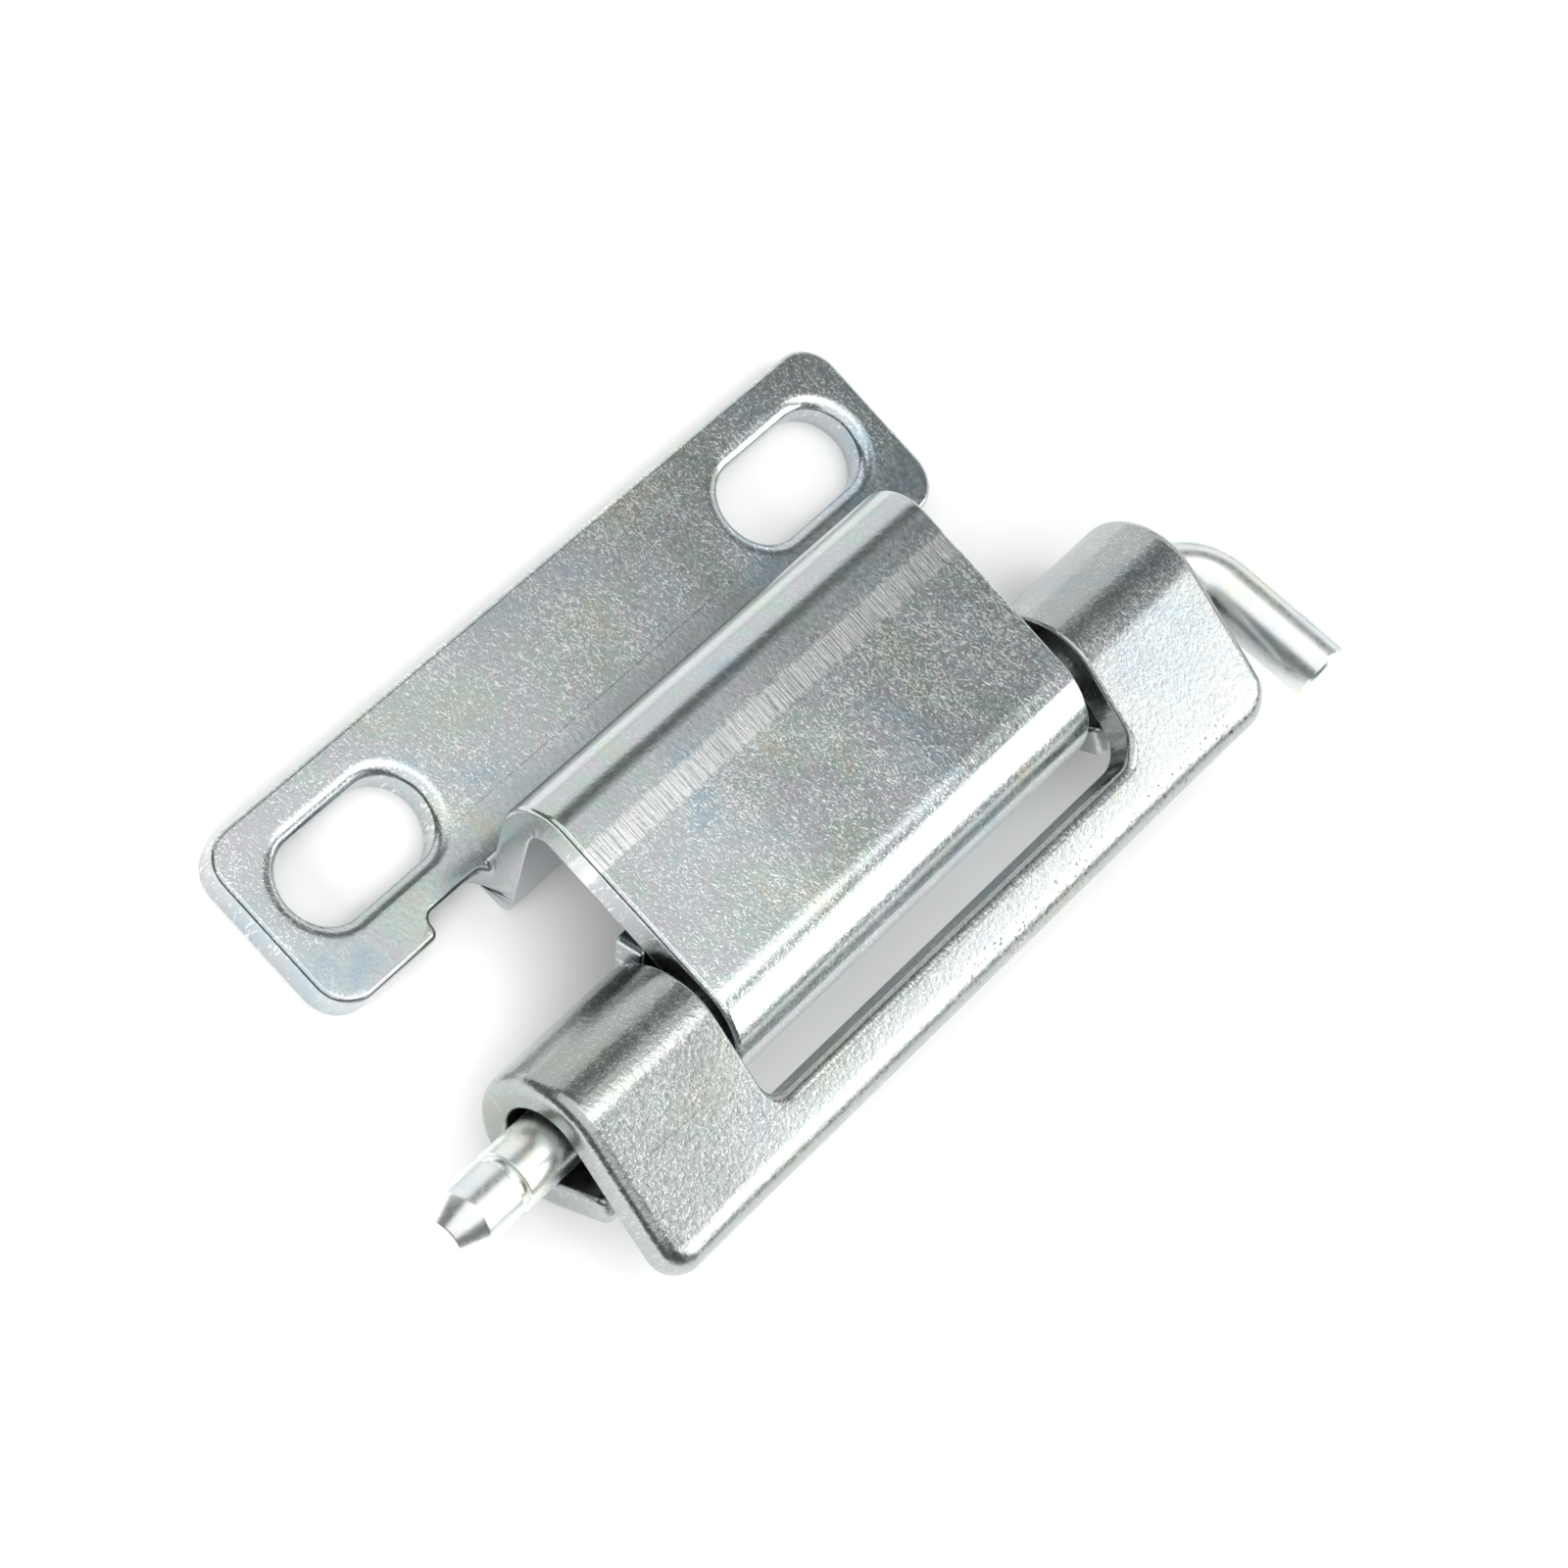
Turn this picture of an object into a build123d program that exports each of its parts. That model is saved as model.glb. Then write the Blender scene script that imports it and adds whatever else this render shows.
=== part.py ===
from build123d import *
import math
import os

# Concealed cabinet hinge with a pull-out pin. Millimetres, +Z up.
# The origin is on the seating face of the mounting plate, midway between its two slots.
# X runs along the pin towards its handle, and Y from the pin towards the plate.
# The pieces are drawn about the pin axis and moved to the origin at the end.

# Sheet that both leaves are made of
SHEET = 2.5
SHEET_ROLL = 0.5

# Mounting plate of the frame leaf
PLATE_LENGTH = 70.0
PLATE_WIDTH = 15.3
PLATE_CORNER = 3.0
SLOT_WIDTH = 7.0
SLOT_LENGTH = 14.0
SLOT_TO_OUTER_EDGE = 7.0
SLOT_TO_PLATE_END = 3.0
SLOT_ROLL = 0.6

# Pin axis, from the seating face and from the inner edge of the plate
AXIS_HEIGHT = 6.4
AXIS_TO_PLATE = 15.3

# Raised part of the frame leaf, between the tabs that the plate ends in
NEAR_TAB = 17.0
FAR_TAB = 10.5
WEB_FOOT = 13.1
WEB_LEAN = 19.0
FOOT_OUTER_ROUND = 0.9
FOOT_INNER_ROUND = 0.5
CREST_INNER_ROUND = 1.1
NOTCH_LENGTH = 6.6
NOTCH_DEPTH = 1.6
NOTCH_ROUND = 0.75

# Pin
PIN_DIAMETER = 5.0
PIN_CLEARANCE = 0.6
TIP_OVERHANG = 10.6
TIP_CONE_LENGTH = 2.2
TIP_FLAT_DIAMETER = 3.0
GROOVE_TO_TIP = 5.8
GROOVE_WIDTH = 0.8
GROOVE_DEPTH = 0.4
HANDLE_GAP = 1.7
HANDLE_LENGTH = 14.4
HANDLE_BEND = 4.6
HANDLE_RISE = 11.0
HANDLE_END_ROUND = 0.5

# Knuckles rolled from the sheet
CURL_RETURN = 62.0
SEAM_GAP = 0.3

# Door leaf
KNUCKLE_LENGTH = 14.2
NEAR_GAP = 0.7
FAR_GAP = 1.5
LEAF_REACH = 12.4
LEAF_DROOP = 17.0
LEAF_CORNER = 2.6
BAR_WIDTH = 5.0
WINDOW_CORNER = 2.2
LEAF_TOP_ROUND = 1.3
LEAF_UNDER_ROUND = 0.5

# Worked out from the sizes above
PIN_RADIUS = PIN_DIAMETER / 2
CURL_INNER = PIN_RADIUS + PIN_CLEARANCE
CURL_OUTER = CURL_INNER + SHEET
PLATE_BOTTOM = -AXIS_HEIGHT
PLATE_TOP = PLATE_BOTTOM + SHEET
PLATE_OUTER = AXIS_TO_PLATE + PLATE_WIDTH
SLOT_Y = PLATE_OUTER - SLOT_TO_OUTER_EDGE
SLOT_X = PLATE_LENGTH / 2 - SLOT_TO_PLATE_END - SLOT_LENGTH / 2
PANEL_NEAR = NEAR_TAB - PLATE_LENGTH / 2
PANEL_FAR = PLATE_LENGTH / 2 - FAR_TAB
NEAR_INNER = PANEL_NEAR - NEAR_GAP
FAR_INNER = PANEL_FAR + FAR_GAP
NEAR_END = NEAR_INNER - KNUCKLE_LENGTH
FAR_END = FAR_INNER + KNUCKLE_LENGTH
WINDOW_EDGE = LEAF_REACH - BAR_WIDTH
WEB_RUN = math.tan(math.radians(WEB_LEAN))
WEB_ACROSS = SHEET / math.cos(math.radians(WEB_LEAN))
PANEL_EDGE = WEB_FOOT + WEB_ACROSS + WEB_RUN * SHEET + SHEET
NEARNESS = 0.001


def around_axis(angle, radius):
    """Point of the hinge section at an angle and a distance from the pin axis."""
    return (radius * math.cos(math.radians(angle)), radius * math.sin(math.radians(angle)))


def along_pin(section, start, end):
    """Solid of a hinge section between two places on the pin axis."""
    return Pos(start, 0, 0) * extrude(section, amount=end - start, dir=(1, 0, 0))


def curl_section():
    """Rolled end of a sheet: a ring round the pin, and a straight leg that returns to the sheet."""
    turn_end = 270 + CURL_RETURN
    turn_middle = (90 + turn_end) / 2
    inner_start = around_axis(turn_end, CURL_INNER)
    outer_start = around_axis(turn_end, CURL_OUTER)
    heading = around_axis(turn_end + 90, 1.0)
    leg = (CURL_INNER - SEAM_GAP - inner_start[1]) / heading[1]
    inner_tip = (inner_start[0] + leg * heading[0], inner_start[1] + leg * heading[1])
    outer_tip = (outer_start[0] + leg * heading[0], outer_start[1] + leg * heading[1])
    with BuildSketch(Plane.YZ) as section:
        with BuildLine():
            ThreePointArc(around_axis(90, CURL_OUTER), around_axis(turn_middle, CURL_OUTER), outer_start)
            Polyline(outer_start, outer_tip, inner_tip, inner_start)
            ThreePointArc(inner_start, around_axis(turn_middle, CURL_INNER), around_axis(90, CURL_INNER))
            Line(around_axis(90, CURL_INNER), around_axis(90, CURL_OUTER))
        make_face()
    return section.sketch


def raised_section():
    """Foot, leaning web, crest and flat panel of the frame leaf, up to the top of its knuckle."""
    foot_outer = (WEB_FOOT, PLATE_BOTTOM)
    foot_inner = (PANEL_EDGE - SHEET, PLATE_TOP)
    under_crest = (WEB_FOOT + WEB_RUN * (CURL_INNER - PLATE_BOTTOM), CURL_INNER)
    crest = (WEB_FOOT + WEB_ACROSS + WEB_RUN * (CURL_OUTER - PLATE_BOTTOM), CURL_OUTER)
    corners = [(PANEL_EDGE, PLATE_BOTTOM), foot_outer, under_crest, (0, CURL_INNER), (0, CURL_OUTER),
               crest, foot_inner, (PANEL_EDGE, PLATE_TOP)]
    rounds = [(foot_outer, FOOT_OUTER_ROUND), (foot_inner, FOOT_INNER_ROUND),
              (under_crest, CREST_INNER_ROUND), (crest, CREST_INNER_ROUND + SHEET)]
    with BuildSketch(Plane.YZ) as section:
        with BuildLine():
            Polyline(*corners, close=True)
        make_face()
        for (corner_y, corner_z), radius in rounds:
            fillet(section.vertices().sort_by_distance((corner_y, corner_z))[0], radius)
    return section.sketch


def mounting_plate():
    """Flat plate with rounded corners, two slots, and a relief notch at each end of the bend."""
    plate_y = (AXIS_TO_PLATE + PLATE_OUTER) / 2
    notches = [(PANEL_NEAR - NOTCH_LENGTH / 2, AXIS_TO_PLATE),
               (PANEL_FAR + NOTCH_LENGTH / 2, AXIS_TO_PLATE)]
    with BuildSketch(Plane.XY.offset(PLATE_BOTTOM)) as outline:
        with Locations((0, plate_y)):
            RectangleRounded(PLATE_LENGTH, PLATE_WIDTH, PLATE_CORNER)
        with Locations(*notches):
            RectangleRounded(NOTCH_LENGTH, 2 * NOTCH_DEPTH, NOTCH_ROUND, mode=Mode.SUBTRACT)
        with Locations(((PANEL_NEAR + PANEL_FAR) / 2, (AXIS_TO_PLATE + PANEL_EDGE) / 2)):
            Rectangle(PANEL_FAR - PANEL_NEAR, PANEL_EDGE - AXIS_TO_PLATE, mode=Mode.SUBTRACT)
        with Locations((-SLOT_X, SLOT_Y), (SLOT_X, SLOT_Y)):
            SlotOverall(SLOT_LENGTH, SLOT_WIDTH, mode=Mode.SUBTRACT)
    plate = extrude(outline.sketch, amount=SHEET)
    upper_face = plate.faces().sort_by(Axis.Z)[-1]
    slot_rims = [edge for wire in upper_face.inner_wires() for edge in wire.edges()]
    plate = fillet(slot_rims, SLOT_ROLL)
    upper_face = plate.faces().sort_by(Axis.Z)[-1]
    return fillet([edge for edge in upper_face.outer_wire().edges() if clear_of_bend(edge)], SHEET_ROLL)


def clear_of_bend(edge):
    """True for an edge of the plate that isn't at the bend or at its relief notches."""
    middle = edge @ 0.5
    beside = middle.X < PANEL_NEAR - NOTCH_LENGTH or middle.X > PANEL_FAR + NOTCH_LENGTH
    return beside or middle.Y > PANEL_EDGE + NEARNESS


def frame_leaf():
    """One folded sheet: mounting plate, web, crest, raised panel and knuckle."""
    return mounting_plate() + along_pin(raised_section() + curl_section(), PANEL_NEAR, PANEL_FAR)


def leaf_window():
    """Opening between the two knuckles, up to the bar, with rounded inner corners."""
    start = -CURL_OUTER - SHEET
    with BuildSketch(Plane.XY.offset(start)) as window:
        with Locations(((NEAR_INNER + FAR_INNER) / 2, (start + WINDOW_EDGE) / 2)):
            Rectangle(FAR_INNER - NEAR_INNER, WINDOW_EDGE - start)
        fillet(window.vertices().sort_by(Axis.Y)[-2:], WINDOW_CORNER)
    return extrude(window.sketch, amount=-2 * start)


def on_bar_rim(edge, height):
    """True for the outer edges of the bar and of the two round corners beside it, at one height."""
    middle = edge @ 0.5
    return middle.Y > LEAF_REACH - LEAF_CORNER and abs(middle.Z - height) < NEARNESS


def on_knuckle_end(edge):
    """True for the outer edges of the two end faces, over the sheet and round the curl."""
    middle = edge @ 0.5
    at_end = min(abs(middle.X - NEAR_END), abs(middle.X - FAR_END)) < NEARNESS
    on_sheet = abs(middle.Z - CURL_OUTER) < NEARNESS
    on_ring = edge.geom_type == GeomType.CIRCLE and abs(edge.radius - CURL_OUTER) < NEARNESS
    return at_end and (on_sheet or on_ring)


def door_leaf():
    """One rolled leaf: a weld-on bar that joins two knuckles, with a window between them."""
    with BuildSketch(Plane.YZ) as flat:
        with Locations((LEAF_REACH / 2, (CURL_INNER + CURL_OUTER) / 2)):
            Rectangle(LEAF_REACH, SHEET)
    leaf = along_pin(flat.sketch + curl_section(), NEAR_END, FAR_END)
    posts = [edge for edge in leaf.edges().filter_by(Axis.Z) if (edge @ 0.5).Y > LEAF_REACH - NEARNESS]
    leaf = fillet(posts, LEAF_CORNER)
    leaf = leaf - leaf_window()
    upper_rim = [edge for edge in leaf.edges() if on_knuckle_end(edge) or on_bar_rim(edge, CURL_OUTER)]
    leaf = fillet(upper_rim, LEAF_TOP_ROUND)
    lower_rim = [edge for edge in leaf.edges() if on_bar_rim(edge, CURL_INNER)]
    leaf = fillet(lower_rim, LEAF_UNDER_ROUND)
    return Rot(LEAF_DROOP, 0, 0) * mirror(leaf, about=Plane.XZ)


def hinge_pin():
    """Round bar with a conical tip and a retaining groove, bent at the far end into a handle."""
    tip = NEAR_END - TIP_OVERHANG
    handle_x = FAR_END + HANDLE_GAP + PIN_RADIUS
    bend_start = handle_x - HANDLE_BEND
    groove = tip + GROOVE_TO_TIP
    groove_radius = PIN_RADIUS - GROOVE_DEPTH
    outline = [(tip, 0), (tip, TIP_FLAT_DIAMETER / 2), (tip + TIP_CONE_LENGTH, PIN_RADIUS),
               (groove, PIN_RADIUS), (groove, groove_radius), (groove + GROOVE_WIDTH, groove_radius),
               (groove + GROOVE_WIDTH, PIN_RADIUS), (bend_start, PIN_RADIUS), (bend_start, 0)]
    with BuildSketch(Plane.XZ) as half:
        with BuildLine():
            Polyline(*outline, close=True)
        make_face()
    shank = revolve(half.sketch, axis=Axis.X)
    with BuildLine(Plane.XY) as route:
        bend = RadiusArc((bend_start, 0), (handle_x, -HANDLE_BEND), HANDLE_BEND)
        Line(bend @ 1, (handle_x, -HANDLE_LENGTH))
    with BuildSketch(Plane.YZ.offset(bend_start)) as bar:
        Circle(PIN_RADIUS)
    handle = sweep(bar.sketch, path=route.wires()[0])
    end_rim = [edge for edge in handle.edges() if (edge @ 0.5).Y < -HANDLE_LENGTH + NEARNESS]
    handle = fillet(end_rim, HANDLE_END_ROUND)
    return Rot(-HANDLE_RISE, 0, 0) * (shank + handle)


os.makedirs("parts", exist_ok=True)
to_origin = Pos(0, -SLOT_Y, AXIS_HEIGHT)
for name, piece in (("frame_leaf", frame_leaf()), ("door_leaf", door_leaf()), ("hinge_pin", hinge_pin())):
    export_step(to_origin * piece, f"parts/{name}.step")
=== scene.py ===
import math

import bmesh
import bpy
from mathutils import Matrix, Vector


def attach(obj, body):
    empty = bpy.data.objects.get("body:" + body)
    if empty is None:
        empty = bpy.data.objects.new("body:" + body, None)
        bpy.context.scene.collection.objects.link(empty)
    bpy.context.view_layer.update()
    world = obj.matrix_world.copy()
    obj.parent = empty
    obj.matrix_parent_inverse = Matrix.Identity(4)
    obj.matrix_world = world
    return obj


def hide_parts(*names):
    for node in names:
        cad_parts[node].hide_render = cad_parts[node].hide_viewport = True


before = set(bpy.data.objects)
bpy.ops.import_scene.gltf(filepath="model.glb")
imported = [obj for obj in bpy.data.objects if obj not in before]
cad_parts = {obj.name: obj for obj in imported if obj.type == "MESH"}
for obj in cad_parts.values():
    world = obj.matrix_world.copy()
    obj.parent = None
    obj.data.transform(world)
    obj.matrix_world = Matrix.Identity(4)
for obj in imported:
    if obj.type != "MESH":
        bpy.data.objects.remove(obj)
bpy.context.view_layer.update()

mm = 0.001
onePoint = 1e-5  # millimetres within which two points are one
tiny = 1e-6  # millimetres allowed past the end of a step along the sheet
slack = 0.001  # millimetres allowed at the sides of a straight edge
sharpAngle = 50.0  # degrees from which an edge is shaded as a crease
print("stage: frame loaded")

sheet = {  # both leaves, millimetres, measured from the pin axis
    "thickness": 2.5,
    "curlInner": 3.1,
    "curlTurn": 242.0,  # degrees of the roll, from the top of the sheet
    "seamGap": 0.3,
    "bendSteps": 14,
    "curlSteps": 64,
    "cornerSteps": 10,
    "slotSteps": 28,
    "rimSteps": 7,
    "edgeSpacing": 1.5,
}
pinAxis = {"y": -23.6, "z": 6.4}  # of the pin in the row frame
frameLeaf = {
    "node": "frame_leaf",
    "slot": "frame_leaf_zinc",
    "halfLength": 35.0,
    "plateOuter": 30.6,
    "plateInner": 15.3,
    "plateTop": -3.9,
    "corner": 3.0,
    "slotX": 25.0,
    "slotInset": 7.0,
    "slotWidth": 7.0,
    "slotLength": 14.0,
    "slotRoll": (1.25, 0.62),
    "panelNear": -18.0,
    "panelFar": 24.5,
    "notchLength": 6.6,
    "notchDepth": 1.6,
    "notchRound": 0.75,
    "tabRound": 0.8,
    "webRound": 1.3,
    "levelTo": 19.2,  # the plate's walls are upright as far as here
    "webFoot": 13.1,
    "webLean": 19.0,
    "footOuterRound": 0.9,
    "footInnerRound": 0.5,
    "crestInnerRound": 1.1,
    "topRoll": (0.42, 0.42),  # inset and height of a rounded upper edge
    "underRoll": 0.22,
    "tipRound": 0.5,
}
doorLeaf = {
    "node": "door_leaf",
    "slot": "door_leaf_zinc",
    "nearEnd": -32.9,
    "nearInner": -18.7,
    "farInner": 26.0,
    "farEnd": 40.2,
    "reach": 12.4,
    "barWidth": 5.0,
    "corner": 2.6,
    "windowCorner": 2.2,
    "windowMargin": 0.1,
    "droop": 17.0,
    "barRoll": (2.6, 1.75),  # inset and height of a rounded upper edge
    "cornerRoll": (2.3, 1.6),
    "endRoll": (1.1, 1.1),
    "windowRoll": (0.95, 0.6),
    "knuckleRoll": (0.32, 0.32),
    "underRoll": 0.5,
    "tipRound": 0.9,
}
hingePin = {
    "node": "hinge_pin",
    "slot": "pin_zinc",
    "radius": 2.5,
    "tip": -43.5,
    "tipFlat": 1.5,
    "coneLength": 2.2,
    "grooveStart": -37.7,
    "grooveWidth": 0.8,
    "grooveDepth": 0.4,
    "edgeRound": 0.12,
    "edgeShare": 0.3,  # of the edge's round, at its middle point
    "tipShare": 0.25,
    "handleX": 44.4,
    "bend": 4.6,
    "handleLength": 14.4,
    "handleRise": 11.0,
    "endRound": 0.5,
    "endSegments": 6,
    "around": 96,
    "bendSteps": 28,
}
view = {  # the photograph's camera, worked out from the plate, slots and edges
    "place": (-245.4, -15.35, 346.9),
    "azimuth": -0.27,
    "elevation": 53.93,
    "roll": -47.93,
    "lens": 136.32,
    "sensor": 36.0,
    "clipStart": 0.01,
}


def toward(heading):
    return Vector((math.cos(math.radians(heading)), math.sin(math.radians(heading))))


def leftOf(heading):
    return toward(heading + 90.0)


def cornerArc(corner, headingIn, headingOut, radius, steps):
    turn = headingOut - headingIn
    side = math.copysign(1.0, turn)
    setback = radius * math.tan(math.radians(abs(turn)) / 2.0)
    centre = Vector(corner) - toward(headingIn) * setback + leftOf(headingIn) * side * radius
    headings = [headingIn + turn * i / steps for i in range(steps + 1)]
    return [centre - leftOf(h) * side * radius for h in headings]


def curlStations(inner, thickness, heading):
    steps = sheet["curlSteps"]
    headings = [heading + sheet["curlTurn"] * i / steps for i in range(steps + 1)]
    stations = [(-leftOf(h) * (inner + thickness), -leftOf(h) * inner) for h in headings]
    last = headings[-1]
    leg = (inner - sheet["seamGap"] - stations[-1][1].y) / toward(last).y
    stations.append((stations[-1][0] + toward(last) * leg, stations[-1][1] + toward(last) * leg))
    return stations


def frameStations():  # upper and lower points of the section, from the plate's outer edge to the roll's end
    s = frameLeaf
    t = sheet["thickness"]
    inner = sheet["curlInner"]
    bottom = s["plateTop"] - t
    run = math.tan(math.radians(s["webLean"]))
    across = t / math.cos(math.radians(s["webLean"]))
    up = 90.0 - s["webLean"]
    footTop = (s["webFoot"] + across + run * t, s["plateTop"])
    footUnder = (s["webFoot"], bottom)
    crestTop = (s["webFoot"] + across + run * (inner + t - bottom), inner + t)
    crestUnder = (s["webFoot"] + run * (inner - bottom), inner)
    n = sheet["bendSteps"]
    level = (s["plateOuter"], s["levelTo"])
    stations = [(Vector((y, s["plateTop"])), Vector((y, bottom))) for y in level]
    stations += zip(cornerArc(footTop, 180.0, up, s["footInnerRound"], n),
                    cornerArc(footUnder, 180.0, up, s["footOuterRound"], n))
    stations += zip(cornerArc(crestTop, up, 180.0, s["crestInnerRound"] + t, n),
                    cornerArc(crestUnder, up, 180.0, s["crestInnerRound"], n))
    return stations + curlStations(inner, t, 180.0)


def doorStations():
    t = sheet["thickness"]
    inner = sheet["curlInner"]
    start = (Vector((doorLeaf["reach"], inner + t)), Vector((doorLeaf["reach"], inner)))
    return [start] + curlStations(inner, t, 180.0)


def distances(stations):
    along = [0.0]
    for (before, _), (after, _) in zip(stations, stations[1:]):
        along.append(along[-1] + (after - before).length)
    return along


def straightRun(start, end):  # points between two corners, so that the roll of an edge can change along it
    place, normal = start
    count = int((end - place).length / sheet["edgeSpacing"])
    return [(place.lerp(end, (i + 1) / (count + 1)), normal) for i in range(count)]


def smoothOutline(corners, steps):  # points of a closed, rounded outline, each with its outward normal
    count = len(corners)
    area = sum(corners[i][0] * corners[(i + 1) % count][1] - corners[(i + 1) % count][0] * corners[i][1]
               for i in range(count))
    outward = math.copysign(1.0, area)
    points = []
    for i, (x, s, radius) in enumerate(corners):
        before = Vector((x, s)) - Vector(corners[i - 1][:2])
        after = Vector(corners[(i + 1) % count][:2]) - Vector((x, s))
        headingIn = math.degrees(math.atan2(before.y, before.x))
        turn = math.degrees(math.atan2(before.x * after.y - before.y * after.x, before.dot(after)))
        arc = cornerArc((x, s), headingIn, headingIn + turn, radius, steps)
        if points:
            points += straightRun(points[-1], arc[0])
        for j, point in enumerate(arc):
            points.append((point, -leftOf(headingIn + turn * j / steps) * outward))
    return points + straightRun(points[-1], points[0][0])


def stadium(x, s, length, width, steps):  # points of a slot with the normal that points into its hole
    radius = width / 2.0
    points = []
    for side, start in ((1.0, -90.0), (-1.0, 90.0)):
        centre = Vector((x + side * (length / 2.0 - radius), s))
        for i in range(steps + 1):
            ray = toward(start + 180.0 * i / steps)
            points.append((centre + ray * radius, -ray))
    return points


def rimProfile(top, under):  # inset and height of each step up a sheet's wall, with both edges rounded
    topInset, topHeight = top
    steps = sheet["rimSteps"]
    turns = [math.radians(90.0 * i / steps) for i in range(steps + 1)]
    lower = [(under * (1.0 - math.sin(t)), under * (1.0 - math.cos(t))) for t in turns]
    upper = [(topInset * (1.0 - math.cos(t)), sheet["thickness"] - topHeight * (1.0 - math.sin(t)))
             for t in turns]
    return lower + upper


def addRim(bm, outline, rolls):  # the wall of one outline, extruded step by step. Returns its end loops
    order = bm.verts.layers.int["outlineOrder"]
    profiles = [rimProfile(*rolls(point)) for point, normal in outline]

    def settle(verts, level):
        for vert in verts:
            point, normal = outline[vert[order]]
            inset, height = profiles[vert[order]][level]
            vert.co = (point.x - normal.x * inset, point.y - normal.y * inset, height)

    start = [bm.verts.new() for _ in outline]
    for i, vert in enumerate(start):
        vert[order] = i
    settle(start, 0)
    first = [bm.edges.new(pair) for pair in zip(start, start[1:] + start[:1])]
    last = first
    for level in range(1, len(profiles[0])):
        grown = bmesh.ops.extrude_edge_only(bm, edges=last)["geom"]
        settle([part for part in grown if isinstance(part, bmesh.types.BMVert)], level)
        last = [part for part in grown if isinstance(part, bmesh.types.BMEdge) and part.is_boundary]
    return first, last


def finishPiece(name, bm):
    for face in bm.faces:
        face.smooth = True
    mesh = bpy.data.meshes.new(name)
    bm.to_mesh(mesh)
    bm.free()
    mesh.set_sharp_from_angle(angle=math.radians(sharpAngle))
    piece = bpy.data.objects.new(name, mesh)
    bpy.context.scene.collection.objects.link(piece)
    weighted = piece.modifiers.new("weightedNormals", "WEIGHTED_NORMAL")
    weighted.keep_sharp = True
    return piece


def foldedSheet(name, outlines, stations, place, folds):  # a flat blank, folded along the stations
    bm = bmesh.new()
    bm.verts.layers.int.new("outlineOrder")
    lower, upper = [], []
    for outline, rolls in outlines:
        under, top = addRim(bm, outline, rolls)
        lower += under
        upper += top
    for edges in (lower, upper):
        bmesh.ops.triangle_fill(bm, use_beauty=True, use_dissolve=False, edges=edges)
    along = distances(stations)
    for s in along[1:-1]:
        geometry = list(bm.verts) + list(bm.edges) + list(bm.faces)
        bmesh.ops.bisect_plane(bm, geom=geometry, dist=onePoint, plane_co=(0.0, s, 0.0),
                               plane_no=(0.0, 1.0, 0.0))
    bmesh.ops.recalc_face_normals(bm, faces=list(bm.faces))
    bm.verts.layers.int.remove(bm.verts.layers.int["outlineOrder"])
    flat = bm.verts.layers.float_vector.new("flatPlace")
    for vert in bm.verts:
        x, s, height = vert.co
        vert[flat] = (x, s, height)
        k = next((i for i in range(len(along) - 2) if s <= along[i + 1] + tiny), len(along) - 2)
        k = k if folds(x) else 0
        share = (s - along[k]) / (along[k + 1] - along[k])
        top = stations[k][0].lerp(stations[k + 1][0], share)
        under = stations[k][1].lerp(stations[k + 1][1], share)
        section = under.lerp(top, height / sheet["thickness"])
        vert.co = place(Vector((x, section.x, section.y))) * mm
    bmesh.ops.recalc_face_normals(bm, faces=list(bm.faces))
    return finishPiece(name, bm)


def fromPinAxis(point):
    return point + Vector((0.0, pinAxis["y"], pinAxis["z"]))


def placeDoor(point):
    droop = Matrix.Rotation(math.radians(doorLeaf["droop"]), 3, "X")
    return fromPinAxis(droop @ Vector((point.x, -point.y, point.z)))


def makeFrameLeaf():
    s = frameLeaf
    stations = frameStations()
    end = distances(stations)[-1]
    inner = s["plateOuter"] - s["plateInner"]
    notch = inner - s["notchDepth"]
    half = s["halfLength"]
    near, far = s["panelNear"], s["panelFar"]
    tip = s["tipRound"]
    corners = [
        (-half, 0.0, s["corner"]), (half, 0.0, s["corner"]), (half, inner, s["corner"]),
        (far + s["notchLength"], inner, s["tabRound"]), (far + s["notchLength"], notch, s["notchRound"]),
        (far, notch, s["webRound"]), (far, end, tip), (near, end, tip), (near, notch, s["webRound"]),
        (near - s["notchLength"], notch, s["notchRound"]), (near - s["notchLength"], inner, s["tabRound"]),
        (-half, inner, s["corner"]),
    ]
    blank = smoothOutline(corners, sheet["cornerSteps"])
    outlines = [(blank, lambda point: (s["topRoll"], s["underRoll"]))]
    for x in (-s["slotX"], s["slotX"]):
        hole = stadium(x, s["slotInset"], s["slotLength"], s["slotWidth"], sheet["slotSteps"])
        outlines.append((hole, lambda point: (s["slotRoll"], s["underRoll"])))
    return foldedSheet("frameLeaf", outlines, stations, fromPinAxis, lambda x: near - slack < x < far + slack)


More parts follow.
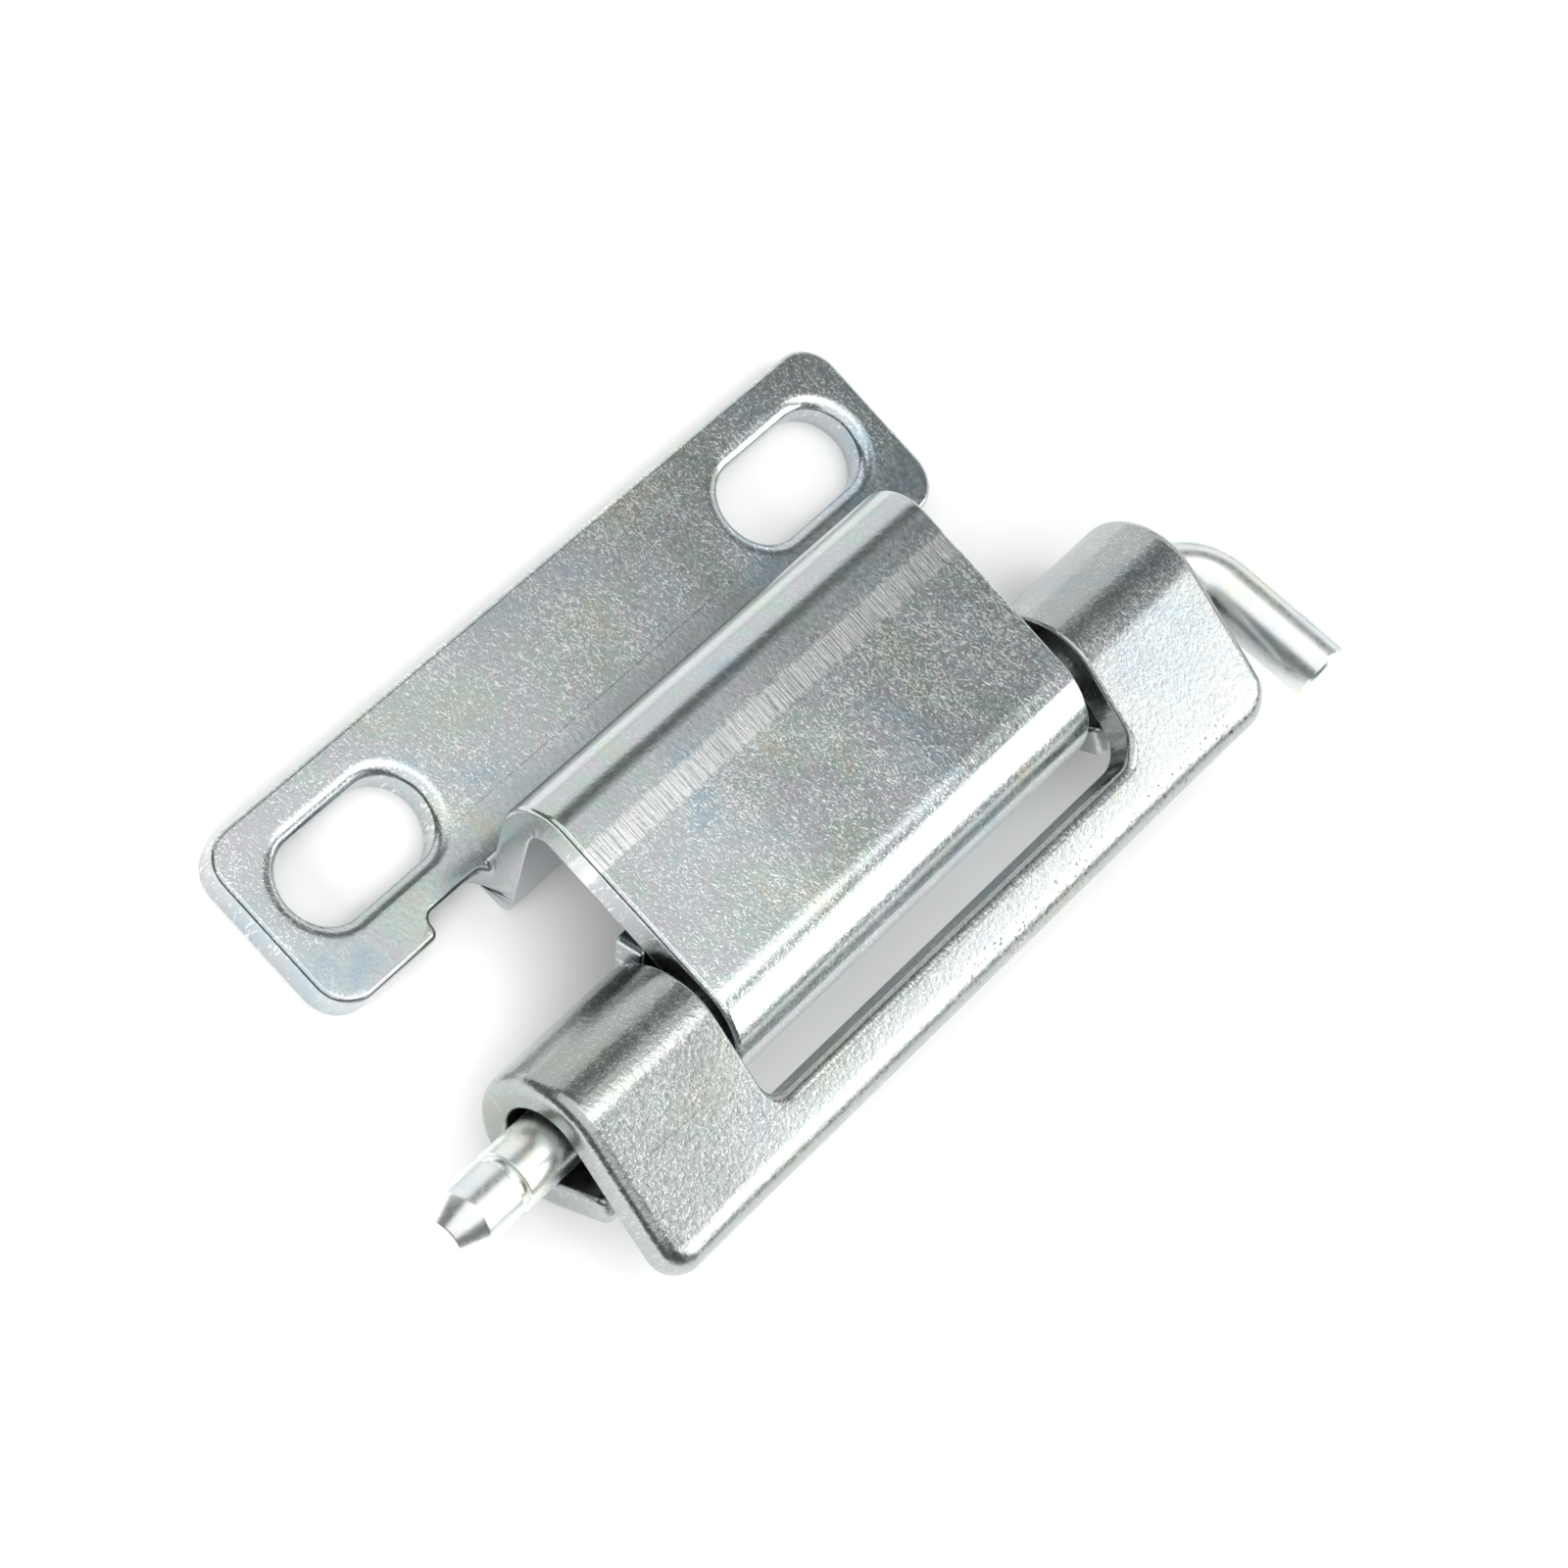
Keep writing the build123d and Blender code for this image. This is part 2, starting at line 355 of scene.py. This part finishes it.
def makeDoorLeaf():
    s = doorLeaf
    stations = doorStations()
    end = distances(stations)[-1]
    tip = s["tipRound"]
    corners = [
        (s["nearEnd"], 0.0, s["corner"]), (s["farEnd"], 0.0, s["corner"]),
        (s["farEnd"], end, tip), (s["farInner"], end, tip),
        (s["farInner"], s["barWidth"], s["windowCorner"]), (s["nearInner"], s["barWidth"], s["windowCorner"]),
        (s["nearInner"], end, tip), (s["nearEnd"], end, tip),
    ]

    def blend(first, second, share):
        share = min(max(share, 0.0), 1.0)
        return tuple(a + (b - a) * share for a, b in zip(first, second))

    def rolls(point):  # the bar is rounded most, and the knuckles least where they meet the frame leaf's
        betweenEnds = s["nearInner"] - tip < point.x < s["farInner"] + tip
        if betweenEnds and point.y > s["barWidth"] - s["windowMargin"]:
            past = (point.y - s["barWidth"]) / s["windowCorner"]
            return blend(s["windowRoll"], s["knuckleRoll"], past), s["knuckleRoll"][0]
        if point.y > slack:
            return blend(s["cornerRoll"], s["endRoll"], point.y / s["corner"]), s["underRoll"]
        inward = min(point.x - s["nearEnd"], s["farEnd"] - point.x) - s["corner"]
        return blend(s["cornerRoll"], s["barRoll"], inward / s["barWidth"]), s["underRoll"]

    outline = smoothOutline(corners, sheet["cornerSteps"])
    return foldedSheet("doorLeaf", [(outline, rolls)], stations, placeDoor, lambda x: True)


def pinProfile(bendStart):  # place along the pin and radius, from the middle of the tip to the bend
    s = hingePin
    r, e = s["radius"], s["edgeRound"]
    middle = e * s["edgeShare"]
    cut = r - s["grooveDepth"]
    cone = s["tip"] + s["coneLength"]
    near, far = s["grooveStart"], s["grooveStart"] + s["grooveWidth"]
    slope = (r - s["tipFlat"]) / s["coneLength"]
    return [
        (s["tip"], 0.0), (s["tip"], s["tipFlat"] - e),
        (s["tip"] + middle, s["tipFlat"] - e * s["tipShare"]), (s["tip"] + e, s["tipFlat"] + e * slope),
        (cone - e, r - e * slope), (cone, r - middle * slope), (cone + e, r),
        (near - e, r), (near - middle, r - middle), (near, r - e), (near, cut),
        (far, cut), (far, r - e), (far + middle, r - middle), (far + e, r), (bendStart, r),
    ]


def straightened(point, bendStart):  # place on the pin as if its handle were not bent
    s = hingePin
    centreY = -s["bend"]
    travel = bendStart - s["tip"]
    if point.x <= bendStart and point.y > -2.0 * s["radius"]:
        return (point.x - s["tip"], point.y, point.z)
    if point.y > centreY:
        turn = math.atan2(point.x - bendStart, point.y - centreY)
        offset = math.hypot(point.x - bendStart, point.y - centreY) - s["bend"]
        return (travel + s["bend"] * turn, offset, point.z)
    return (travel + s["bend"] * math.pi / 2.0 + centreY - point.y, point.x - s["handleX"], point.z)


def makePin():
    s = hingePin
    bm = bmesh.new()
    bendStart = s["handleX"] - s["bend"]
    verts = [bm.verts.new((x, radius, 0.0)) for x, radius in pinProfile(bendStart)]
    edges = [bm.edges.new(pair) for pair in zip(verts, verts[1:])]
    bmesh.ops.spin(bm, geom=verts + edges, cent=(0.0, 0.0, 0.0), axis=(1.0, 0.0, 0.0), angle=2.0 * math.pi,
                   steps=s["around"], use_merge=True)
    bmesh.ops.remove_doubles(bm, verts=list(bm.verts), dist=onePoint)
    rim = [edge for edge in bm.edges if edge.is_boundary]
    ring = list({vert for edge in rim for vert in edge.verts})
    bent = bmesh.ops.spin(bm, geom=ring + rim, cent=(bendStart, -s["bend"], 0.0), axis=(0.0, 0.0, -1.0),
                          angle=math.pi / 2.0, steps=s["bendSteps"])["geom_last"]
    rim = [part for part in bent if isinstance(part, bmesh.types.BMEdge)]
    grown = bmesh.ops.extrude_edge_only(bm, edges=rim)["geom"]
    ring = [part for part in grown if isinstance(part, bmesh.types.BMVert)]
    bmesh.ops.translate(bm, verts=ring, vec=(0.0, s["bend"] - s["handleLength"], 0.0))
    rim = [part for part in grown if isinstance(part, bmesh.types.BMEdge) and part.is_boundary]
    bmesh.ops.edgeloop_fill(bm, edges=rim)
    bmesh.ops.bevel(bm, geom=rim, offset=s["endRound"], offset_type="OFFSET", segments=s["endSegments"],
                    profile=0.5, affect="EDGES", material=-1)
    flat = bm.verts.layers.float_vector.new("flatPlace")
    for vert in bm.verts:
        vert[flat] = straightened(vert.co, bendStart)
    everything = list(bm.verts)
    bmesh.ops.rotate(bm, verts=everything, cent=(0.0, 0.0, 0.0),
                     matrix=Matrix.Rotation(math.radians(-s["handleRise"]), 3, "X"))
    bmesh.ops.translate(bm, verts=everything, vec=fromPinAxis(Vector()))
    bmesh.ops.scale(bm, verts=everything, vec=(mm, mm, mm))
    bmesh.ops.recalc_face_normals(bm, faces=list(bm.faces))
    return finishPiece("hingePin", bm)


pieces = {"frame_leaf": makeFrameLeaf(), "door_leaf": makeDoorLeaf(), "hinge_pin": makePin()}
print("stage: pieces made", {name: len(piece.data.polygons) for name, piece in pieces.items()})

tintFilm = {  # thin-film colours of the zinc, from one end of the noise to the other
    "detail": 3.0,
    "distortion": 0.4,
    "stops": [(0.30, (0.78, 0.90, 1.0)), (0.42, (0.95, 1.0, 1.0)), (0.50, (1.0, 0.94, 0.98)),
              (0.58, (0.90, 1.0, 0.95)), (0.70, (1.0, 0.96, 0.82))],
}
grainMarks = {
    "crowdScale": 0.22,
    "crowdShare": 0.22,
    "turns": (-12.0, 26.0),  # degrees of the two layers of strokes
    "strokeFade": (0.74, 0.82),
    "strokeDistortion": 0.5,
    "fleckFade": (0.75, 0.81),
    "fleckDistortion": 0.2,
    "reliefScale": 2.6,
    "reliefDetail": 4.0,
    "reliefDistortion": 0.3,
    "reliefRange": (0.3, 0.7),  # of the noise, from smooth to rough
    "markRise": 0.35,  # of a bright mark above the relief
}
lookSpecs = {  # scales are per millimetre of the flat sheet
    "frame_leaf": {
        "colour": (0.585, 0.615, 0.622), "glint": (1.0, 1.0, 1.0), "tint": 0.9, "patch": 0.16,
        "stroke": (7.6, 2.6, 1.0), "fleck": 7.0, "strokeBright": 0.85, "fleckBright": 0.85,
        "rough": (0.17, 0.26), "bump": 0.8, "depth": 0.011, "waveScale": 0.075, "waveHeight": 12.0,
        "band": {"start": 27.9, "end": 29.6, "fade": 0.3, "lines": 6.0, "along": 0.22, "ragged": 0.9,
                 "raggedScale": 1.2, "stops": [(0.40, 0.12), (0.54, 1.0)]},
        "smooth": {"start": 11.2, "end": 26.0, "fade": 1.4, "share": 0.8},
        # crease: painted shade, a thin darker line along a faint bend of the plate that the mesh doesn't have
        "crease": {"start": 10.08, "end": 10.12, "fade": 0.08, "nearX": -14.0, "farX": 12.0, "fadeX": 8.0,
                   "colour": (0.74, 0.76, 0.78)},
    },
    "door_leaf": {
        "colour": (0.435, 0.452, 0.448), "glint": (0.78, 0.80, 0.80), "tint": 0.5, "patch": 0.14,
        "stroke": (5.0, 3.6, 1.0), "fleck": 5.5, "strokeBright": 0.35, "fleckBright": 0.4,
        "rough": (0.2, 0.28), "bump": 1.0, "depth": 0.024, "waveScale": 0.1, "waveHeight": 2.0,
        "scratch": {"start": -29.0, "end": -22.8, "fadeX": 2.0, "slope": 0.038, "level": 7.56, "core": 0.02,
                    "width": 0.06, "strength": 0.4},
        "pits": {"scale": 3.4, "distortion": 0.3, "limits": (0.70, 0.75), "fromEdge": 0.9, "toEdge": 2.2,
                 "fade": 0.7, "start": 2.0, "end": 39.0, "fadeX": 4.0, "colour": (0.34, 0.36, 0.36)},
    },
    "hinge_pin": {
        "colour": (0.92, 0.94, 0.93), "glint": (0.98, 0.99, 1.0), "tint": 0.6, "patch": 0.2,
        "stroke": (0.25, 3.0, 3.0), "fleck": 3.0, "strokeBright": 0.4, "fleckBright": 0.1,
        "rough": (0.26, 0.36), "bump": 0.3, "depth": 0.004, "waveScale": 0.1, "waveHeight": 0.0,
    },
}


def addNode(tree, kind, inputs=(), **settings):  # inputs are linked to sockets or set to values
    made = tree.nodes.new(kind)
    for key, value in settings.items():
        setattr(made, key, value)
    for key, value in dict(inputs).items():
        if isinstance(value, bpy.types.NodeSocket):
            tree.links.new(value, made.inputs[key])
        else:
            made.inputs[key].default_value = value
    return made


def newGroup(name, inputs, outputs):  # returns the group, its input node and its output node
    group = bpy.data.node_groups.new(name, "ShaderNodeTree")
    for label, kind in inputs:
        group.interface.new_socket(name=label, in_out="INPUT", socket_type=kind)
    for label, kind in outputs:
        group.interface.new_socket(name=label, in_out="OUTPUT", socket_type=kind)
    return group, group.nodes.new("NodeGroupInput"), group.nodes.new("NodeGroupOutput")


def ramp(tree, value, stops):  # a colour ramp through the stops, each a place and a grey or a colour
    made = addNode(tree, "ShaderNodeValToRGB", {"Fac": value})
    band = made.color_ramp
    while len(band.elements) < len(stops):
        band.elements.new(0.5)
    for element, (place, colour) in zip(band.elements, stops):
        element.position = place
        element.color = (*colour, 1.0) if isinstance(colour, tuple) else (colour, colour, colour, 1.0)
    return made.outputs["Color"]


def fadeIn(tree, value, limits):  # 0 below the first limit, 1 above the second
    return ramp(tree, value, [(limits[0], 0.0), (limits[1], 1.0)])


def mixColour(tree, blend, factor, first, second):  # sockets 6 and 7, and output 2, are the node's colours
    made = addNode(tree, "ShaderNodeMix", {0: factor, 6: first, 7: second},
                   data_type="RGBA", blend_type=blend)
    return made.outputs[2]


def noise(tree, place, scale, detail=2.0, distortion=0.0):
    made = addNode(tree, "ShaderNodeTexNoise",
                   {"Vector": place, "Scale": scale, "Detail": detail, "Distortion": distortion})
    return made.outputs["Fac"]


def stretched(tree, place, scale):
    return addNode(tree, "ShaderNodeVectorMath", {0: place, 1: scale}, operation="MULTIPLY").outputs["Vector"]


def arithmetic(tree, operation, first, second):
    return addNode(tree, "ShaderNodeMath", {0: first, 1: second}, operation=operation).outputs["Value"]


def between(tree, value, start, end, fade):  # 1 where the value is between start and end, with soft sides
    rise = addNode(tree, "ShaderNodeMapRange", {"Value": value, "From Min": start - fade, "From Max": start})
    fall = addNode(tree, "ShaderNodeMapRange", {"Value": value, "From Min": end, "From Max": end + fade,
                                                "To Min": 1.0, "To Max": 0.0})
    return arithmetic(tree, "MULTIPLY", rise.outputs["Result"], fall.outputs["Result"])


def platingTint():  # thin-film colour of the zinc in soft patches
    inputs = [("Place", "NodeSocketVector"), ("Patch", "NodeSocketFloat"),
              ("Strength", "NodeSocketFloat"), ("Metal", "NodeSocketColor")]
    group, given, result = newGroup("platingTint", inputs, [("Colour", "NodeSocketColor")])
    patches = noise(group, given.outputs["Place"], given.outputs["Patch"], tintFilm["detail"],
                    tintFilm["distortion"])
    film = ramp(group, patches, tintFilm["stops"])
    colour = mixColour(group, "MULTIPLY", given.outputs["Strength"], given.outputs["Metal"], film)
    group.links.new(colour, result.inputs["Colour"])
    return group


def fleckGrain():  # bright flecks and short strokes of the plated steel, and its fine relief
    s = grainMarks
    inputs = [("Place", "NodeSocketVector"), ("Stroke", "NodeSocketVector"), ("Fleck", "NodeSocketFloat")]
    outputs = [(label, "NodeSocketFloat") for label in ("Strokes", "Flecks", "Relief")]
    group, given, result = newGroup("fleckGrain", inputs, outputs)
    place = given.outputs["Place"]
    gathered = noise(group, place, s["crowdScale"])  # marks gather in places
    crowd = arithmetic(group, "MULTIPLY", gathered, s["crowdShare"])
    layers = []
    for turn in s["turns"]:
        turned = addNode(group, "ShaderNodeVectorRotate", {"Vector": place, "Angle": math.radians(turn)},
                         rotation_type="Z_AXIS").outputs["Vector"]
        drawn = stretched(group, turned, given.outputs["Stroke"])
        lines = noise(group, drawn, 1.0, detail=1.0, distortion=s["strokeDistortion"])
        layers.append(fadeIn(group, arithmetic(group, "ADD", lines, crowd), s["strokeFade"]))
    strokes = arithmetic(group, "MAXIMUM", layers[0], layers[1])
    dots = noise(group, place, given.outputs["Fleck"], detail=1.0, distortion=s["fleckDistortion"])
    flecks = fadeIn(group, arithmetic(group, "ADD", dots, crowd), s["fleckFade"])
    relief = noise(group, place, s["reliefScale"], s["reliefDetail"], s["reliefDistortion"])
    for value, label in ((strokes, "Strokes"), (flecks, "Flecks"), (relief, "Relief")):
        group.links.new(value, result.inputs[label])
    return group


tintGroup = platingTint()
grainGroup = fleckGrain()


def scratchLine(tree, flatX, across, spec):  # one hairline scratch, nearly along the pin
    level = arithmetic(tree, "ADD", across, arithmetic(tree, "MULTIPLY", flatX, spec["slope"]))
    line = between(tree, level, spec["level"], spec["level"] + spec["core"], spec["width"])
    reach = between(tree, flatX, spec["start"], spec["end"], spec["fadeX"])
    return arithmetic(tree, "MULTIPLY", arithmetic(tree, "MULTIPLY", line, reach), spec["strength"])


def pitted(tree, place, flatX, across, spec):  # dark pits in the plating along the bar's outer edge
    cloud = noise(tree, place, spec["scale"], detail=0.0, distortion=spec["distortion"])
    edge = arithmetic(tree, "MULTIPLY", between(tree, across, spec["fromEdge"], spec["toEdge"], spec["fade"]),
                      between(tree, flatX, spec["start"], spec["end"], spec["fadeX"]))
    return arithmetic(tree, "MULTIPLY", fadeIn(tree, cloud, spec["limits"]), edge)


def strikeBand(tree, place, across, spec):  # short lines that the bending tool leaves beside the crest
    wander = noise(tree, place, spec["raggedScale"], detail=3.0)
    shifted = arithmetic(tree, "ADD", across, arithmetic(tree, "MULTIPLY", wander, spec["ragged"]))
    inside = between(tree, shifted, spec["start"], spec["end"], spec["fade"])
    fine = noise(tree, stretched(tree, place, (spec["lines"], spec["along"], 0.0)), 1.0)
    return arithmetic(tree, "MULTIPLY", inside, ramp(tree, fine, spec["stops"]))


def lessBy(tree, value, mask):  # the value, taken away where the mask is 1
    return arithmetic(tree, "MULTIPLY", value, arithmetic(tree, "SUBTRACT", 1.0, mask))


def zincLook(name, spec):  # one plated surface: tinted metal, brighter flecks and strokes, and a fine relief
    material = bpy.data.materials.new(name)
    material.use_nodes = True
    tree = material.node_tree
    shader = tree.nodes["Principled BSDF"]
    place = addNode(tree, "ShaderNodeAttribute", attribute_name="flatPlace").outputs["Vector"]
    flatX, across, _ = addNode(tree, "ShaderNodeSeparateXYZ", {"Vector": place}).outputs
    tint = addNode(tree, "ShaderNodeGroup", node_tree=tintGroup)
    grain = addNode(tree, "ShaderNodeGroup", node_tree=grainGroup)
    for made in (tint, grain):
        tree.links.new(place, made.inputs["Place"])
    tint.inputs["Patch"].default_value = spec["patch"]
    tint.inputs["Strength"].default_value = spec["tint"]
    tint.inputs["Metal"].default_value = (*spec["colour"], 1.0)
    grain.inputs["Stroke"].default_value = spec["stroke"]
    grain.inputs["Fleck"].default_value = spec["fleck"]
    marks = arithmetic(tree, "MULTIPLY", grain.outputs["Strokes"], spec["strokeBright"])
    dots = arithmetic(tree, "MULTIPLY", grain.outputs["Flecks"], spec["fleckBright"])
    bright = arithmetic(tree, "MAXIMUM", marks, dots)
    metal = tint.outputs["Colour"]
    if "scratch" in spec:
        dark = arithmetic(tree, "MAXIMUM", scratchLine(tree, flatX, across, spec["scratch"]),
                          pitted(tree, place, flatX, across, spec["pits"]))
        metal = mixColour(tree, "MULTIPLY", dark, metal, (*spec["pits"]["colour"], 1.0))
        bright = lessBy(tree, bright, dark)
    if "band" in spec:
        smooth, crease = spec["smooth"], spec["crease"]
        rubbed = between(tree, across, smooth["start"], smooth["end"], smooth["fade"])
        bright = lessBy(tree, bright, arithmetic(tree, "MULTIPLY", rubbed, smooth["share"]))
        bright = arithmetic(tree, "MAXIMUM", bright, strikeBand(tree, place, across, spec["band"]))
        # painted shade: the metal is darkened along a thin line where the plate has a faint bend that the
        # mesh lacks
        line = between(tree, across, crease["start"], crease["end"], crease["fade"])
        reach = between(tree, flatX, crease["nearX"], crease["farX"], crease["fadeX"])
        creaseShade = arithmetic(tree, "MULTIPLY", line, reach)
        metal = mixColour(tree, "MULTIPLY", creaseShade, metal, (*crease["colour"], 1.0))
    colour = mixColour(tree, "MIX", bright, metal, (*spec["glint"], 1.0))
    tree.links.new(colour, shader.inputs["Base Color"])
    shader.inputs["Metallic"].default_value = 1.0
    smoothest, roughest = grainMarks["reliefRange"]
    worn = addNode(tree, "ShaderNodeMapRange", {"Value": grain.outputs["Relief"], "From Min": smoothest,
                                                "From Max": roughest, "To Min": spec["rough"][0],
                                                "To Max": spec["rough"][1]})
    tree.links.new(worn.outputs["Result"], shader.inputs["Roughness"])
    raised = arithmetic(tree, "MULTIPLY", bright, grainMarks["markRise"])
    swell = noise(tree, place, spec["waveScale"], detail=1.0)  # the pressed sheet isn't quite flat
    wave = arithmetic(tree, "MULTIPLY", swell, spec["waveHeight"])
    height = arithmetic(tree, "ADD", arithmetic(tree, "ADD", grain.outputs["Relief"], raised), wave)
    bump = addNode(tree, "ShaderNodeBump",
                   {"Height": height, "Strength": spec["bump"], "Distance": spec["depth"] * mm})
    tree.links.new(bump.outputs["Normal"], shader.inputs["Normal"])
    return material


for spec in (frameLeaf, doorLeaf, hingePin):
    node = spec["node"]
    piece = pieces[node]
    piece.data.materials.append(zincLook(node + "Look", lookSpecs[node]))
    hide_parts(node)
    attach(piece, node)
print("stage: looks set")

paper = {"halfSize": 1.5, "colour": (0.86, 0.86, 0.86), "roughness": 0.9, "specular": 0.2}  # metres
studio = {"colour": (0.92, 1.0, 0.96), "strength": 0.15, "target": (0.0, -0.012, 0.006)}  # lights aim there
lights = {  # place, width and height in metres, power in watts, seen in the metal's gloss
    "ceiling": ((-0.1, -0.02, 0.9), (2.4, 2.4), 8.5, False),
    "overheadBox": ((-0.14, -0.02, 0.56), (0.8, 0.8), 2.1, True),
    "sideBox": ((0.35, -0.41, 0.262), (0.38, 0.31), 1.06, True),
    "shoulderCard": ((0.325, -0.225, 0.66), (0.25, 0.2), 0.5, True),
    "frontCard": ((0.262, -0.04, 0.666), (0.36, 0.34), 0.34, True),
    "lowCard": ((0.55, -0.02, 0.2), (0.5, 0.25), 0.35, True),
    "backCard": ((0.28, 0.48, 0.225), (0.8, 0.45), 0.95, True),
    "nearFill": ((-0.5, -0.05, 0.13), (0.6, 0.2), 5.0, False),
}


def makeFloor():
    bm = bmesh.new()
    bmesh.ops.create_grid(bm, x_segments=1, y_segments=1, size=paper["halfSize"])
    mesh = bpy.data.meshes.new("floor")
    bm.to_mesh(mesh)
    bm.free()
    floor = bpy.data.objects.new("floor", mesh)
    bpy.context.scene.collection.objects.link(floor)
    material = bpy.data.materials.new("floorPaper")
    material.use_nodes = True
    shader = material.node_tree.nodes["Principled BSDF"]
    shader.inputs["Base Color"].default_value = (*paper["colour"], 1.0)
    shader.inputs["Roughness"].default_value = paper["roughness"]
    shader.inputs["Specular IOR Level"].default_value = paper["specular"]
    mesh.materials.append(material)


def makeLight(name, place, size, power, inGloss):
    data = bpy.data.lights.new(name, "AREA")
    data.shape = "RECTANGLE"
    data.size, data.size_y = size
    data.energy = power
    light = bpy.data.objects.new(name, data)
    light.visible_glossy = inGloss
    light.location = place
    aim = Vector(studio["target"]) - Vector(place)
    light.rotation_euler = aim.to_track_quat("-Z", "Y").to_euler()
    bpy.context.scene.collection.objects.link(light)


def makeWorld():
    world = bpy.data.worlds.new("studio")
    world.use_nodes = True
    background = world.node_tree.nodes["Background"]
    background.inputs["Color"].default_value = (*studio["colour"], 1.0)
    background.inputs["Strength"].default_value = studio["strength"]
    bpy.context.scene.world = world
    bpy.context.scene.view_settings.view_transform = "Standard"


def makeCamera():
    a, e, r = (math.radians(view[key]) for key in ("azimuth", "elevation", "roll"))
    forward = Vector((math.cos(e) * math.cos(a), math.cos(e) * math.sin(a), -math.sin(e)))
    level = Vector((math.sin(a), -math.cos(a), 0.0))
    below = forward.cross(level)
    right = level * math.cos(r) + below * math.sin(r)
    down = below * math.cos(r) - level * math.sin(r)
    data = bpy.data.cameras.new("camera")
    data.lens = view["lens"]
    data.sensor_width = view["sensor"]
    data.clip_start = view["clipStart"]
    camera = bpy.data.objects.new("camera", data)
    turn = Matrix((right, -down, -forward)).transposed().to_4x4()
    camera.matrix_world = Matrix.Translation(Vector(view["place"]) * mm) @ turn
    bpy.context.scene.collection.objects.link(camera)
    bpy.context.scene.camera = camera


makeFloor()
makeCamera()
for name, (place, size, power, inGloss) in lights.items():
    makeLight(name, place, size, power, inGloss)
makeWorld()
print("stage: studio set")
